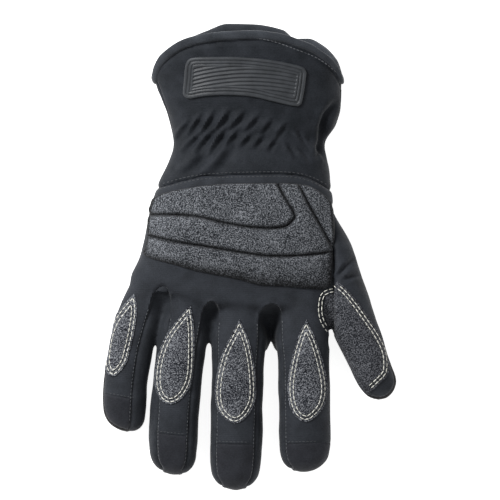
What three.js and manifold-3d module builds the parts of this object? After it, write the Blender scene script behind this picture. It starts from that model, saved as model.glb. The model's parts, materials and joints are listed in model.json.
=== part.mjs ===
// A right-hand work glove of the kind that rescue crews wear, lying on its palm, in millimetres.
// +Z is up, the fingers point to -Y, the thumb is on the +X side and the open cuff is at +Y.
// The glove is a hollow shell of cut and sewn panels. Pads, a patch and a badge lie on top of it.
import * as THREE from "three";
import { mergeVertices } from "three/addons/utils/BufferGeometryUtils.js";
import Module from "manifold-3d";

const wasm = await Module();
wasm.setup();

// Sizes of the hand and the cuff
const palmWidth = 115;
const palmLength = 109; // from the wrist to the front of the palm
const palmThickness = 40;
const wristWidth = 86;
const wristThickness = 37;
const cuffWidth = 106;
const cuffThickness = 49;
const cuffLength = 39; // from the wrist to the hem, at the side seams
const hemArchBack = 26.5; // how far the hem bows out in the middle of the back
const hemArchPalm = 30.5;
const wristPlace = 63; // the wrist's distance in Y from the middle of the glove
const palmMiddle = -8.5; // the palm's middle line in X

// Sizes of the fingers: length from the knuckle, width and thickness
const littleLength = 86;
const littleWidth = 26;
const littleThickness = 23;
const ringLength = 107.6;
const ringWidth = 28.8;
const ringThickness = 25;
const middleLength = 116;
const middleWidth = 30.2;
const middleThickness = 26;
const indexLength = 105.6;
const indexWidth = 30.2;
const indexThickness = 26;
const thumbLength = 114;
const thumbWidth = 27;
const thumbThickness = 26;

// Sizes of the fabric and of what is sewn on
const wall = 2;
const seamGap = 0.3;
const bindingWidth = 5;
const bindingProud = 0.7;
const gatherDepth = 1.7;
const gatherCount = 9;
const knucklePadThickness = 4.6;
const channelDepth = 3.2;
const channelHalfWidth = 1.8;
const knuckleEdge = 1.6; // how far the quilted layer stops short of the pad's edge
const fingerPadThickness = 1.9;
const thumbPatchThickness = 1.4;
const badgeWidth = 66;
const badgeHeight = 21.5;
const badgeThickness = 2;
const badgeRim = 2.2;
const badgeRimHeight = 0.7;
const badgeCorner = 3.5;
const badgeBend = 2.2; // how far its middle is bowed towards the hem

// Facets
const palmSides = { above: 18, below: 10 };
const cuffSides = { above: 32, below: 16 };
const liningSides = { above: 10, below: 8 };
const fingerSides = { above: 8, below: 6 };
const fingerLiningSides = { above: 5, below: 5 };

// The body runs from at = -1 at the front of the palm through 0 at the wrist to 1 at the hem.
// left and right are shares of the named width, from the palm's middle line, and bottom and top of the thickness.
const widths = { palm: palmWidth, wrist: wristWidth, cuff: cuffWidth };
const thicknesses = { palm: palmThickness, wrist: wristThickness, cuff: cuffThickness };
const bodySections = [
  { at: -1.0, size: "palm", left: 0.5, right: 0.485, bottom: 0.08, top: 0.84 },
  { at: -0.8, size: "palm", left: 0.508, right: 0.5, bottom: 0, top: 0.89 },
  { at: -0.6, size: "palm", left: 0.462, right: 0.505, bottom: -0.05, top: 0.95 },
  { at: -0.48, size: "palm", left: 0.432, right: 0.502, bottom: -0.05, top: 0.98 },
  { at: -0.35, size: "palm", left: 0.412, right: 0.5, bottom: -0.05, top: 1 },
  { at: -0.185, size: "palm", left: 0.357, right: 0.487, bottom: -0.05, top: 0.98 },
  { at: -0.1, size: "palm", left: 0.32, right: 0.475, bottom: -0.02, top: 0.95 },
  { at: 0, size: "wrist", left: 0.388, right: 0.612, bottom: 0.02, top: 1 },
  { at: 0.3, size: "cuff", left: 0.334, right: 0.556, bottom: -0.02, top: 0.83 },
  { at: 0.55, size: "cuff", left: 0.365, right: 0.583, bottom: -0.04, top: 0.9 },
  { at: 0.8, size: "cuff", left: 0.4, right: 0.587, bottom: -0.04, top: 0.96 },
  { at: 1, size: "cuff", left: 0.424, right: 0.58, bottom: -0.04, top: 1 },
].map((row) => ({
  at: row.at,
  left: palmMiddle - row.left * widths[row.size],
  right: palmMiddle + row.right * widths[row.size],
  bottom: row.bottom * thicknesses[row.size],
  top: row.top * thicknesses[row.size],
}));

// How far the front of the palm lies back on the back of the hand, where the fingers part,
// as a share of the palm's length at a share of its width from the middle line.
const webSetBack = [
  { at: -0.5, back: 0.28 },
  { at: -0.34, back: 0.26 },
  { at: -0.1, back: 0.172 },
  { at: 0.16, back: 0.158 },
  { at: 0.5, back: 0.18 },
];
const webStart = -0.6;

// How a finger swells and thins from its root at 0 to its tip at 1, and how high its middle line is:
// width is a share of its width, thickness and height of its thickness.
const fingerSections = [
  { at: 0, width: 0.92, thickness: 1, height: 0.74 },
  { at: 0.25, width: 1.03, thickness: 1, height: 0.7 },
  { at: 0.42, width: 0.96, thickness: 0.96, height: 0.64 },
  { at: 0.6, width: 0.98, thickness: 0.94, height: 0.56 },
  { at: 0.8, width: 0.98, thickness: 0.91, height: 0.47 },
  { at: 0.91, width: 0.9, thickness: 0.78, height: 0.4 },
  { at: 0.97, width: 0.68, thickness: 0.56, height: 0.35 },
  { at: 1, width: 0, thickness: 0, height: 0.32 },
];
const thumbSections = [
  { at: 0, width: 0.72, thickness: 0.9, height: 0.66 },
  { at: 0.25, width: 1.08, thickness: 1.04, height: 0.63 },
  { at: 0.46, width: 1.0, thickness: 1.02, height: 0.58 },
  { at: 0.65, width: 0.93, thickness: 0.98, height: 0.54 },
  { at: 0.82, width: 0.82, thickness: 0.87, height: 0.47 },
  { at: 0.92, width: 0.75, thickness: 0.72, height: 0.41 },
  { at: 0.975, width: 0.54, thickness: 0.48, height: 0.36 },
  { at: 1, width: 0, thickness: 0, height: 0.34 },
];
const bodyRoundness = 2.5;
const fingerRoundness = 2.2;

// Where each finger starts, as shares of the palm, its heading from -Y in degrees and its sideways bow.
const fingers = {
  little: {
    length: littleLength, width: littleWidth, thickness: littleThickness,
    across: -0.398, along: 0.725, heading: -10.7, bow: -0.058, sections: fingerSections,
  },
  ring: {
    length: ringLength, width: ringWidth, thickness: ringThickness,
    across: -0.196, along: 0.75, heading: -6.1, bow: -0.03, sections: fingerSections,
  },
  middle: {
    length: middleLength, width: middleWidth, thickness: middleThickness,
    across: 0.038, along: 0.75, heading: -1.5, bow: 0, sections: fingerSections,
  },
  index: {
    length: indexLength, width: indexWidth, thickness: indexThickness,
    across: 0.336, along: 0.75, heading: 1.5, bow: 0.008, sections: fingerSections,
  },
  thumb: {
    length: thumbLength, width: thumbWidth, thickness: thumbThickness,
    across: 0.402, along: 0.359, heading: 21.1, bow: -0.01, sections: thumbSections,
  },
};

// Heights of the seam along the side of the glove and of the seam between the finger sides and the palm.
// at runs from -1 at the middle fingertip through 0 at the wrist to 1 at the hem; shares of the palm's thickness.
const seamHeights = [
  { at: -1, side: 0.25, low: 0.1 },
  { at: -0.8, side: 0.3, low: 0.125 },
  { at: -0.6, side: 0.38, low: 0.165 },
  { at: -0.4, side: 0.43, low: 0.2 },
  { at: -0.2, side: 0.43, low: 0.2 },
  { at: 0, side: 0.5, low: 0.2 },
  { at: 0.5, side: 0.7, low: 0.2 },
  { at: 1, side: 0.76, low: 0.2 },
];

// A column of a table at a place between its rows, on a curve with no overshoot.
function column(table, name, at) {
  const last = table.length - 1;
  if (at <= table[0].at) return table[0][name];
  if (at >= table[last].at) return table[last][name];
  const slope = (k) => (table[k + 1][name] - table[k][name]) / (table[k + 1].at - table[k].at);
  const bend = (k) => {
    if (k === 0) return slope(0);
    if (k === last) return slope(last - 1);
    const [before, after] = [slope(k - 1), slope(k)];
    return before * after <= 0 ? 0 : (2 * before * after) / (before + after);
  };
  const k = table.findIndex((row, j) => j < last && at < table[j + 1].at);
  const step = table[k + 1].at - table[k].at;
  const t = (at - table[k].at) / step;
  const [a, b] = [table[k][name], table[k + 1][name]];
  return (
    a * (1 + 2 * t) * (1 - t) ** 2 +
    b * t * t * (3 - 2 * t) +
    step * (bend(k) * t * (1 - t) ** 2 - bend(k + 1) * t * t * (1 - t))
  );
}

// Solids and geometries
function solidOf(geometry) {
  const bare = new THREE.BufferGeometry().setAttribute("position", geometry.getAttribute("position"));
  bare.setIndex(geometry.index);
  const merged = mergeVertices(bare, 1e-4);
  const mesh = new wasm.Mesh({
    numProp: 3,
    vertProperties: merged.getAttribute("position").array,
    triVerts: new Uint32Array(merged.index.array),
  });
  return new wasm.Manifold(mesh);
}

function geometryOf(solid) {
  const mesh = solid.getMesh();
  const geometry = new THREE.BufferGeometry();
  geometry.setAttribute("position", new THREE.BufferAttribute(mesh.vertProperties, 3));
  geometry.setIndex(new THREE.BufferAttribute(mesh.triVerts, 1));
  geometry.computeVertexNormals();
  return geometry;
}

function union(solids) {
  return solids.reduce((whole, solid) => whole.add(solid));
}

// The largest body, without the crumbs that a cut along a curved wall can leave.
function largestBody(solid) {
  return solid.decompose().sort((a, b) => b.volume() - a.volume())[0];
}

// Skin over a row of rings of equal length, facing out whichever way the rings run.
// Closed lofts go round to their first ring, others get end caps. The last cap may be drawn out to a tip.
function loft(rings, { closed = false, tip } = {}) {
  const sides = rings[0].length;
  const points = rings.flat();
  const faces = [];
  const spans = closed ? rings.length : rings.length - 1;
  for (let r = 0; r < spans; r++) {
    const next = ((r + 1) % rings.length) * sides;
    for (let k = 0; k < sides; k++) {
      const [a, b] = [r * sides + k, r * sides + ((k + 1) % sides)];
      const [c, d] = [next + k, next + ((k + 1) % sides)];
      faces.push(a, b, d, a, d, c);
    }
  }
  if (!closed) {
    for (const [ring, turned] of [[0, true], [rings.length - 1, false]]) {
      const middle = new THREE.Vector3();
      rings[ring].forEach((p) => middle.addScaledVector(p, 1 / sides));
      points.push(turned || !tip ? middle : tip);
      for (let k = 0; k < sides; k++) {
        const [a, b] = [ring * sides + k, ring * sides + ((k + 1) % sides)];
        faces.push(...(turned ? [b, a, points.length - 1] : [a, b, points.length - 1]));
      }
    }
  }
  const solid = solidOf(new THREE.BufferGeometry().setFromPoints(points).setIndex(faces));
  const turnedRings = () => rings.map((ring) => [...ring].reverse());
  return solid.volume() < 0 ? loft(turnedRings(), { closed, tip }) : solid;
}

// A plan outline as an upright block from one height to another.
function block(outline, from, to) {
  const shape = new THREE.Shape(outline.map(([x, y]) => new THREE.Vector2(x, y)));
  const geometry = new THREE.ExtrudeGeometry(shape, { depth: to - from, bevelEnabled: false });
  return solidOf(geometry.translate(0, 0, from));
}

// Angles round a ring, closer together on the back of the glove than under it.
function ringAngles({ above, below }) {
  const part = (count, start) => Array.from({ length: count }, (_, k) => start + (Math.PI * k) / count);
  return [...part(above, 0), ...part(below, Math.PI)];
}

// A superellipse: the share of the half width and half height at an angle.
function rounded(angle, power) {
  const [c, s] = [Math.cos(angle), Math.sin(angle)];
  return [Math.sign(c) * Math.abs(c) ** (2 / power), Math.sign(s) * Math.abs(s) ** (2 / power)];
}

// Body of the hand, the wrist and the cuff
const bodyLength = (at) => (at < 0 ? palmLength : cuffLength);

// How far the hem bows out over the opening's half width, as shares of the two arches.
const hemRows = [
  { at: -1, back: 0, palm: 0 },
  { at: -0.97, back: 0.24, palm: 0.2 },
  { at: -0.9, back: 0.48, palm: 0.4 },
  { at: -0.65, back: 0.82, palm: 0.7 },
  { at: -0.43, back: 0.93, palm: 0.87 },
  { at: -0.21, back: 0.98, palm: 1 },
  { at: 0.07, back: 1, palm: 0.99 },
  { at: 0.38, back: 0.92, palm: 0.89 },
  { at: 0.52, back: 0.82, palm: 0.72 },
  { at: 0.66, back: 0.71, palm: 0.72 },
  { at: 0.8, back: 0.52, palm: 0.6 },
  { at: 0.94, back: 0.25, palm: 0.33 },
  { at: 1, back: 0, palm: 0 },
];
const hemArchEase = 1.3;
function hemArch(at, across, up) {
  if (at <= 0) return 0;
  const [arch, side] = up > 0 ? [hemArchBack, "back"] : [hemArchPalm, "palm"];
  return at ** hemArchEase * arch * column(hemRows, side, across);
}

// Gathers of the elastic across the back of the wrist: ridges that lean out to both sides.
function gather(at, across, up) {
  const [start, end] = [-0.13, 0.4];
  if (up <= 0 || at <= start || at >= end) return 0;
  const swell = Math.sin((Math.PI * (at - start)) / (end - start)) ** 0.8;
  const sides = Math.max(0, 1 - Math.abs(across) ** 6);
  const lean = 0.5 * (at - 0.15) * (1 - across);
  const ridge = 0.5 + 0.5 * Math.cos(Math.PI * gatherCount * (across - lean));
  return gatherDepth * swell * sides * ridge;
}

// One ring of the body. proud moves it outwards, and back moves it from the hem towards the fingers.
function bodyRing(at, proud, sides, { gathered = false, back = 0, floor = Math.max(0, -proud) } = {}) {
  const spot = at - back / cuffLength;
  const row = (name) => column(bodySections, name, spot);
  const halfWidth = (row("right") - row("left")) / 2 + proud;
  const halfHeight = (row("top") - row("bottom")) / 2 + proud;
  const middle = (row("right") + row("left")) / 2;
  const height = (row("top") + row("bottom")) / 2;
  const slant = Math.min(1, Math.max(0, (webStart - at) / (1 + webStart)));
  const frontShift = at <= -1 ? -proud : 0;
  return ringAngles(sides).map((angle) => {
    const [across, up] = rounded(angle, bodyRoundness);
    const x = middle + halfWidth * across;
    const z = height + halfHeight * up + (gathered ? gather(at, across, up) : 0);
    const share = (z - row("bottom")) / (row("top") - row("bottom"));
    const setBack = column(webSetBack, "back", (x - palmMiddle) / palmWidth) * palmLength;
    const y =
      wristPlace + at * bodyLength(at) + hemArch(at, across, up) - back + frontShift +
      slant * Math.max(0, Math.min(1, share)) * setBack;
    return new THREE.Vector3(x, y, Math.max(z, floor));
  });
}

const palmPlaces = [-1, -0.8, -0.6, -0.48, -0.35, -0.23, -0.1];
const cuffPlaces = [-0.34, -0.14, -0.07, 0, 0.07, 0.14, 0.21, 0.3, 0.4, 0.6, 0.8, 1];
const liningPlaces = [-1, -0.8, -0.6, -0.4, -0.2, 0, 0.3, 0.6, 1];

const palmSolid = (proud) => loft(palmPlaces.map((at) => bodyRing(at, proud, palmSides)));
const cuffSolid = (proud, gathered = false) =>
  loft(cuffPlaces.map((at) => bodyRing(at, proud, cuffSides, { gathered })));

// The hollow inside, which runs out through the open hem.
function bodyHollow() {
  const rings = liningPlaces.map((at) => bodyRing(at, -wall, liningSides));
  rings.push(bodyRing(1, -wall, liningSides, { back: -bindingWidth }));
  return loft(rings);
}

// Everything within a width of the hem, in a band round the opening that is thicker than the wall.
function hemBand(width) {
  const [out, inwards] = [0.5 * wall, -1.5 * wall];
  const corner = (proud, back) => bodyRing(1, proud, cuffSides, { back, floor: -proud });
  const corners = [corner(out, width), corner(out, -width), corner(inwards, -width), corner(inwards, width)];
  return loft(corners, { closed: true });
}

// Fingers and thumb
function fingerFrame(finger, at, proud = 0) {
  const heading = THREE.MathUtils.degToRad(finger.heading);
  const ahead = [Math.sin(heading), -Math.cos(heading)];
  const aside = [Math.cos(heading), Math.sin(heading)];
  const reach = at * (finger.length + proud);
  const sway = 4 * at * (1 - at) * finger.bow * finger.length;
  const rootX = palmMiddle + finger.across * palmWidth;
  const rootY = wristPlace - finger.along * palmLength;
  const row = (name) => column(finger.sections, name, at);
  return {
    x: rootX + ahead[0] * reach + aside[0] * sway,
    y: rootY + ahead[1] * reach + aside[1] * sway,
    z: row("height") * finger.thickness,
    halfWidth: (row("width") * finger.width) / 2,
    halfHeight: (row("thickness") * finger.thickness) / 2,
    aside,
  };
}

// A point in plan beside a finger's middle line, in half widths to its +X side.
function beside(finger, at, halfWidths, extra = 0) {
  const f = fingerFrame(finger, at);
  const out = halfWidths * f.halfWidth + extra;
  return [f.x + f.aside[0] * out, f.y + f.aside[1] * out];
}

function fingerSolid(finger, proud, sides = fingerSides) {
  const rows = finger.sections.filter((row, k) => row.width > 0 && (proud >= 0 || k % 2 === 0));
  const rings = rows.map(({ at }) => {
    const f = fingerFrame(finger, at, proud);
    const [halfWidth, halfHeight] = [f.halfWidth + proud, f.halfHeight + proud];
    return ringAngles(sides).map((angle) => {
      const [across, up] = rounded(angle, fingerRoundness);
      const z = Math.max(f.z + up * halfHeight, proud < 0 ? -proud : 0);
      return new THREE.Vector3(
        f.x + f.aside[0] * across * halfWidth, f.y + f.aside[1] * across * halfWidth, z,
      );
    });
  });
  const end = fingerFrame(finger, 1, proud);
  return loft(rings, { tip: new THREE.Vector3(end.x, end.y, end.z) });
}

const fingerNames = ["little", "ring", "middle", "index"];
const handForm = (proud) =>
  union([palmSolid(proud), ...Object.values(fingers).map((finger) => fingerSolid(finger, proud))]);
const hollow = union([
  bodyHollow(),
  ...Object.values(fingers).map((finger) => fingerSolid(finger, -wall, fingerLiningSides)),
]);

// Seams that divide the shell, as blocks. Each takes a margin, so that neighbours end a gap apart.
const farOut = 2 * (palmWidth + palmLength);
const high = 2 * cuffThickness + palmThickness;
const tipPlace = wristPlace - fingers.middle.along * palmLength - middleLength;

// Everything under a seam's height, in a profile along Y that reaches across the glove.
function underSeam(name, margin) {
  const top = seamHeights.map((row) => {
    const reach = row.at < 0 ? wristPlace - tipPlace : cuffLength + hemArchPalm;
    return [wristPlace + row.at * reach, row[name] * palmThickness + margin];
  });
  const outline = [[-farOut, -farOut], [-farOut, top[0][1]], ...top, [farOut, top.at(-1)[1]], [farOut, -farOut]];
  const shape = new THREE.Shape(outline.map(([y, z]) => new THREE.Vector2(y, z)));
  const geometry = new THREE.ExtrudeGeometry(shape, { depth: 2 * farOut, bevelEnabled: false });
  const turn = new THREE.Matrix4().makeBasis(
    new THREE.Vector3(0, 1, 0), new THREE.Vector3(0, 0, 1), new THREE.Vector3(1, 0, 0),
  );
  return solidOf(geometry.applyMatrix4(turn).translate(-farOut, 0, 0));
}

// The cuff's side of the curved seam across the wrist, seen in plan.
const wristSeam = [
  { at: -0.6, along: 0.27 },
  { at: -0.38, along: 0.227 },
  { at: -0.17, along: 0.175 },
  { at: 0.08, along: 0.16 },
  { at: 0.33, along: 0.166 },
  { at: 0.49, along: 0.238 },
  { at: 0.6, along: 0.3 },
];
function beyondWristSeam(margin) {
  const seam = wristSeam.map((row) => [
    palmMiddle + row.at * palmWidth, wristPlace - row.along * palmLength - margin,
  ]);
  return block(
    [[-farOut, farOut], [-farOut, seam[0][1]], ...seam, [farOut, seam.at(-1)[1]], [farOut, farOut]],
    -high, high,
  );
}

// The strip between two fingers: their facing sides and the web that joins them.
// left and right are where the seams run on each finger's back, in half widths from its middle line.
const fourchettes = [
  { name: "fourchette_little_ring", from: "little", to: "ring", left: 0.44, right: -0.72, webAlong: 0.742 },
  { name: "fourchette_ring_middle", from: "ring", to: "middle", left: 0.48, right: -0.76, webAlong: 0.824 },
  { name: "fourchette_middle_index", from: "middle", to: "index", left: 0.58, right: -0.7, webAlong: 0.838 },
];
const seamStations = [0.16, 0.35, 0.6, 0.82, 0.96];
function fourchetteOutline({ from, to, left, right, webAlong }, margin) {
  const down = seamStations.map((at) => beside(fingers[from], at, left, -margin));
  const up = seamStations.map((at) => beside(fingers[to], at, right, margin)).reverse();
  const [low, next] = [down[0], up.at(-1)];
  const webY = wristPlace - webAlong * palmLength + margin;
  const arch = [0.75, 0.5, 0.25].map((t) => [
    low[0] + (next[0] - low[0]) * t,
    Math.max(low[1], next[1]) * (1 - Math.sin(Math.PI * t)) + webY * Math.sin(Math.PI * t),
  ]);
  const keepAbove = (p) => [p[0], Math.min(p[1], webY)];
  const end = tipPlace - palmThickness;
  return [
    ...down.map(keepAbove), [down.at(-1)[0], end], [up[0][0], end], ...up.map(keepAbove), ...arch.map(keepAbove),
  ];
}
const strips = (margin) =>
  union(fourchettes.map((f) => block(fourchetteOutline(f, margin), -high, high))).subtract(
    underSeam("low", -margin),
  );

// The thumb's side of the seam along the edge of the hand.
const thumbSeam = [
  { across: 0.6, along: 0.335 },
  { across: 0.5, along: 0.335 },
  { across: 0.497, along: 0.5 },
  { across: 0.497, along: 0.92 },
  { across: 0.483, along: 1.02 },
  { across: 0.488, along: 1.35 },
  { across: 1.2, along: 1.5 },
];
const planPoint = ({ across, along }, margin = 0) => [
  palmMiddle + across * palmWidth - margin, wristPlace - along * palmLength + margin,
];
function thumbSide(margin) {
  const seam = thumbSeam.map((p) => planPoint(p, margin));
  return block([...seam, [farOut, -farOut], [farOut, seam[0][1]]], -high, high);
}

// The tip of a finger beyond the seam across its back. An outer finger's panel wraps round its free side.
const tipSeams = { little: 0.78, ring: 0.785, middle: 0.767, index: 0.84 };
const freeSide = 2;
function tipBlock(name, margin) {
  const finger = fingers[name];
  const left = fourchettes.find((f) => f.to === name)?.right ?? -freeSide;
  const right = fourchettes.find((f) => f.from === name)?.left ?? freeSide;
  const start = tipSeams[name] - margin / finger.length;
  const line = [0, 0.35, 0.7, 0.9].map((share) => start + (1 - start) * share);
  const a = line.map((at) => beside(finger, at, left));
  const b = line.map((at) => beside(finger, at, right)).reverse();
  const end = tipPlace - palmThickness;
  return block([...a, [a.at(-1)[0], end], [b[0][0], end], ...b], -high, high);
}

// Panels
const parts = {};
const half = seamGap / 2;
const cuffShell = cuffSolid(0, true)
  .intersect(beyondWristSeam(-half))
  .subtract(hollow)
  .subtract(hemBand(bindingWidth + seamGap));
const handShell = handForm(0).subtract(hollow).subtract(beyondWristSeam(half));
parts.cuff_back = cuffShell.subtract(underSeam("side", half));
parts.cuff_palm = cuffShell.intersect(underSeam("side", -half));

const thumbShell = handShell.intersect(thumbSide(-half));
parts.thumb_back = thumbShell.subtract(underSeam("side", half));
parts.thumb_palm = thumbShell.intersect(underSeam("side", -half));

const fingerShell = handShell.subtract(thumbSide(half));
for (const f of fourchettes) {
  parts[f.name] = fingerShell
    .intersect(block(fourchetteOutline(f, -half), -high, high))
    .subtract(underSeam("low", half));
}
const stripsAndGap = strips(half);
const backShell = fingerShell.subtract(stripsAndGap).subtract(underSeam("side", half));
parts.palm_panel = fingerShell.subtract(stripsAndGap).intersect(underSeam("side", -half));
for (const name of fingerNames) {
  parts[`fingertip_${name}`] = backShell.intersect(tipBlock(name, -half));
}
parts.back_panel = backShell.subtract(union(fingerNames.map((name) => tipBlock(name, half))));

// The rolled binding round the hem: a closed profile carried round the opening. proud counts in steps of
// bindingProud out from the fabric, or in from its lining where negative, and back is a share of the width.
const bindingProfile = [
  { proud: 0.4, back: 1 },
  { proud: 1.2, back: 0.5 },
  { proud: 0.5, back: 0 },
  { proud: -1.2, back: 0 },
  { proud: -1, back: 1 },
];
const bindingRing = ({ proud, back }) => {
  const out = proud > 0 ? proud * bindingProud : (proud + 1) * bindingProud - wall;
  return bodyRing(1, out, cuffSides, { back: back * bindingWidth });
};
parts.cuff_binding = loft(bindingProfile.map(bindingRing), { closed: true });

// Pieces that lie on the shell
const clearOfHand = handForm(seamGap);

// The padded panel over the knuckles, with pressed channels.
const knucklePadOutline = [
  { across: -0.374, along: 0.272 }, { across: -0.29, along: 0.24 }, { across: -0.1, along: 0.206 },
  { across: 0.12, along: 0.198 }, { across: 0.31, along: 0.202 }, { across: 0.395, along: 0.226 },
  { across: 0.455, along: 0.285 }, { across: 0.478, along: 0.36 }, { across: 0.484, along: 0.5 },
  { across: 0.479, along: 0.64 }, { across: 0.464, along: 0.735 }, { across: 0.38, along: 0.746 },
  { across: 0.2, along: 0.738 }, { across: 0.02, along: 0.7 }, { across: -0.17, along: 0.652 },
  { across: -0.33, along: 0.606 }, { across: -0.438, along: 0.573 }, { across: -0.422, along: 0.48 },
  { across: -0.408, along: 0.36 }, { across: -0.398, along: 0.31 },
];
const knuckleChannels = [
  [
    { across: -0.5, along: 0.36 }, { across: -0.21, along: 0.364 }, { across: -0.02, along: 0.405 },
    { across: 0.13, along: 0.425 }, { across: 0.25, along: 0.422 }, { across: 0.295, along: 0.385 },
    { across: 0.285, along: 0.33 }, { across: 0.25, along: 0.265 }, { across: 0.205, along: 0.17 },
  ],
  [
    { across: -0.55, along: 0.45 }, { across: -0.29, along: 0.497 }, { across: -0.13, along: 0.522 },
    { across: 0.02, along: 0.55 }, { across: 0.17, along: 0.57 }, { across: 0.32, along: 0.568 },
    { across: 0.52, along: 0.545 },
  ],
  [
    { across: 0.3, along: 0.17 }, { across: 0.343, along: 0.25 }, { across: 0.372, along: 0.314 },
    { across: 0.42, along: 0.4 }, { across: 0.52, along: 0.56 },
  ],
];

// A band in plan, so wide to both sides of a line.
function bandOutline(line, halfWidth) {
  const side = (sign) =>
    line.map(([x, y], k) => {
      const [a, b] = [line[Math.max(0, k - 1)], line[Math.min(line.length - 1, k + 1)]];
      const size = Math.hypot(b[0] - a[0], b[1] - a[1]) * sign;
      return [x + (halfWidth * (b[1] - a[1])) / size, y - (halfWidth * (b[0] - a[0])) / size];
    });
  return [...side(1), ...side(-1).reverse()];
}

// The pad is a thin base with a thick quilted layer, which stops short of the edge and of each channel.
const knuckleLine = knucklePadOutline.map((p) => planPoint(p));
const knucklePadFloor = 0.6 * palmThickness;
const upright = (outline) => block(outline, knucklePadFloor, high);
const knuckleGrooves = union([
  ...knuckleChannels.map((line) => upright(bandOutline(line.map((p) => planPoint(p)), channelHalfWidth))),
  upright(bandOutline([...knuckleLine, knuckleLine[0]], knuckleEdge)),
]);
parts.knuckle_pad = palmSolid(knucklePadThickness)
  .intersect(upright(knuckleLine))
  .subtract(knuckleGrooves)
  .add(palmSolid(knucklePadThickness - channelDepth).intersect(upright(knuckleLine)))
  .subtract(clearOfHand);

// Tear-shaped pads on the fingers, pointed towards the knuckles.
// from and to are places along the finger, half its half width, and pointAt and roundAt where its ends lie across.
const fingerPads = {
  little: { from: 0.08, to: 0.63, half: 0.5, pointAt: -0.5, roundAt: -0.5 },
  ring: { from: 0.12, to: 0.6, half: 0.68, pointAt: -0.02, roundAt: -0.26 },
  middle: { from: 0.17, to: 0.65, half: 0.72, pointAt: -0.05, roundAt: -0.14 },
  index: { from: 0.18, to: 0.7, half: 0.68, pointAt: 0.12, roundAt: 0.06 },
};
const tearPoints = 22;
const tearWidest = 0.77; // the greatest value of the tear's own curve
function tearOutline(finger, { from, to, half: size, pointAt, roundAt }) {
  return Array.from({ length: tearPoints }, (_, k) => {
    const turn = (2 * Math.PI * k) / tearPoints;
    const share = (1 - Math.cos(turn)) / 2;
    const out = (Math.sin(turn) * Math.sin(turn / 2)) / tearWidest;
    return beside(finger, from + (to - from) * share, pointAt + (roundAt - pointAt) * share + size * out);
  });
}
for (const name of fingerNames) {
  const finger = fingers[name];
  const outline = tearOutline(finger, fingerPads[name]);
  const floor = 0.36 * palmThickness;
  parts[`finger_pad_${name}`] = fingerSolid(finger, fingerPadThickness)
    .intersect(block(outline, floor, high))
    .subtract(clearOfHand);
}

// The patch that saddles the crotch of the thumb: points along the thumb, then back over the hand.
const thumbPatchOnThumb = [
  { at: 0.363, out: -0.16 }, { at: 0.525, out: 0.29 }, { at: 0.677, out: 0.65 },
  { at: 0.787, out: 0.8 }, { at: 0.854, out: 0.6 }, { at: 0.916, out: -0.93 },
  { at: 0.92, out: -1.5 }, { at: 0.75, out: -1.35 },
];
const thumbPatchOnHand = [
  { across: 0.489, along: 1.0 }, { across: 0.478, along: 0.972 }, { across: 0.446, along: 0.918 },
  { across: 0.433, along: 0.834 }, { across: 0.446, along: 0.782 }, { across: 0.5, along: 0.735 },
];
const thumbPatchOutline = [
  ...thumbPatchOnThumb.map(({ at, out }) => beside(fingers.thumb, at, out)),
  ...thumbPatchOnHand.map((p) => planPoint(p)),
];
parts.thumb_patch = handForm(thumbPatchThickness)
  .intersect(block(thumbPatchOutline, 0.2 * palmThickness, high))
  .subtract(clearOfHand);

// The moulded badge on the back of the cuff, with a raised rim and a bare field.
const badge = { across: 0.055, along: -0.34, tilt: -5.5 };
function badgeOutline(inset) {
  const [halfWidth, halfHeight] = [badgeWidth / 2 - inset, badgeHeight / 2 - inset];
  const corner = Math.max(badgeCorner - inset, badgeCorner / 4);
  const shape = new THREE.Shape();
  const [w, h] = [halfWidth - corner, halfHeight - corner];
  shape.absarc(w, h, corner, 0, Math.PI / 2);
  shape.lineTo(w / 3, halfHeight);
  shape.lineTo(-w / 3, halfHeight);
  shape.absarc(-w, h, corner, Math.PI / 2, Math.PI);
  shape.absarc(-w, -h, corner, Math.PI, 1.5 * Math.PI);
  shape.lineTo(-w / 3, -halfHeight);
  shape.lineTo(w / 3, -halfHeight);
  shape.absarc(w, -h, corner, 1.5 * Math.PI, 2 * Math.PI);
  const tilt = THREE.MathUtils.degToRad(badge.tilt);
  const [x0, y0] = planPoint(badge);
  return shape.getPoints(3).slice(0, -1).map((p) => {
    const y = p.y + badgeBend * (1 - ((2 * p.x) / badgeWidth) ** 2);
    return [x0 + p.x * Math.cos(tilt) - y * Math.sin(tilt), y0 + p.x * Math.sin(tilt) + y * Math.cos(tilt)];
  });
}
const badgeField = upright(badgeOutline(badgeRim)).subtract(cuffSolid(badgeThickness - badgeRimHeight));
parts.cuff_badge = cuffSolid(badgeThickness)
  .intersect(upright(badgeOutline(0)))
  .subtract(cuffSolid(seamGap))
  .subtract(badgeField);

// Materials
const fabric = new THREE.MeshStandardMaterial({ color: 0x2b2d31, roughness: 0.85, metalness: 0 });
const palmLeather = new THREE.MeshStandardMaterial({ color: 0x242528, roughness: 0.7, metalness: 0 });
const heather = new THREE.MeshStandardMaterial({ color: 0x55575c, roughness: 0.95, metalness: 0 });
const rubber = new THREE.MeshStandardMaterial({ color: 0x3c3f44, roughness: 0.55, metalness: 0 });
const materials = {
  palm_panel: palmLeather,
  thumb_palm: palmLeather,
  knuckle_pad: heather,
  finger_pad_little: heather,
  finger_pad_ring: heather,
  finger_pad_middle: heather,
  finger_pad_index: heather,
  thumb_patch: heather,
  cuff_badge: rubber,
};

// The assembled glove, with its origin under the middle of its box
const glove = new THREE.Group();
for (const [name, solid] of Object.entries(parts)) {
  const mesh = new THREE.Mesh(geometryOf(largestBody(solid)), materials[name] ?? fabric);
  mesh.name = name;
  glove.add(mesh);
}
const box = new THREE.Box3().setFromObject(glove);
const middle = box.getCenter(new THREE.Vector3());
glove.position.set(-middle.x, -middle.y, -box.min.z);

export default glove;
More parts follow.
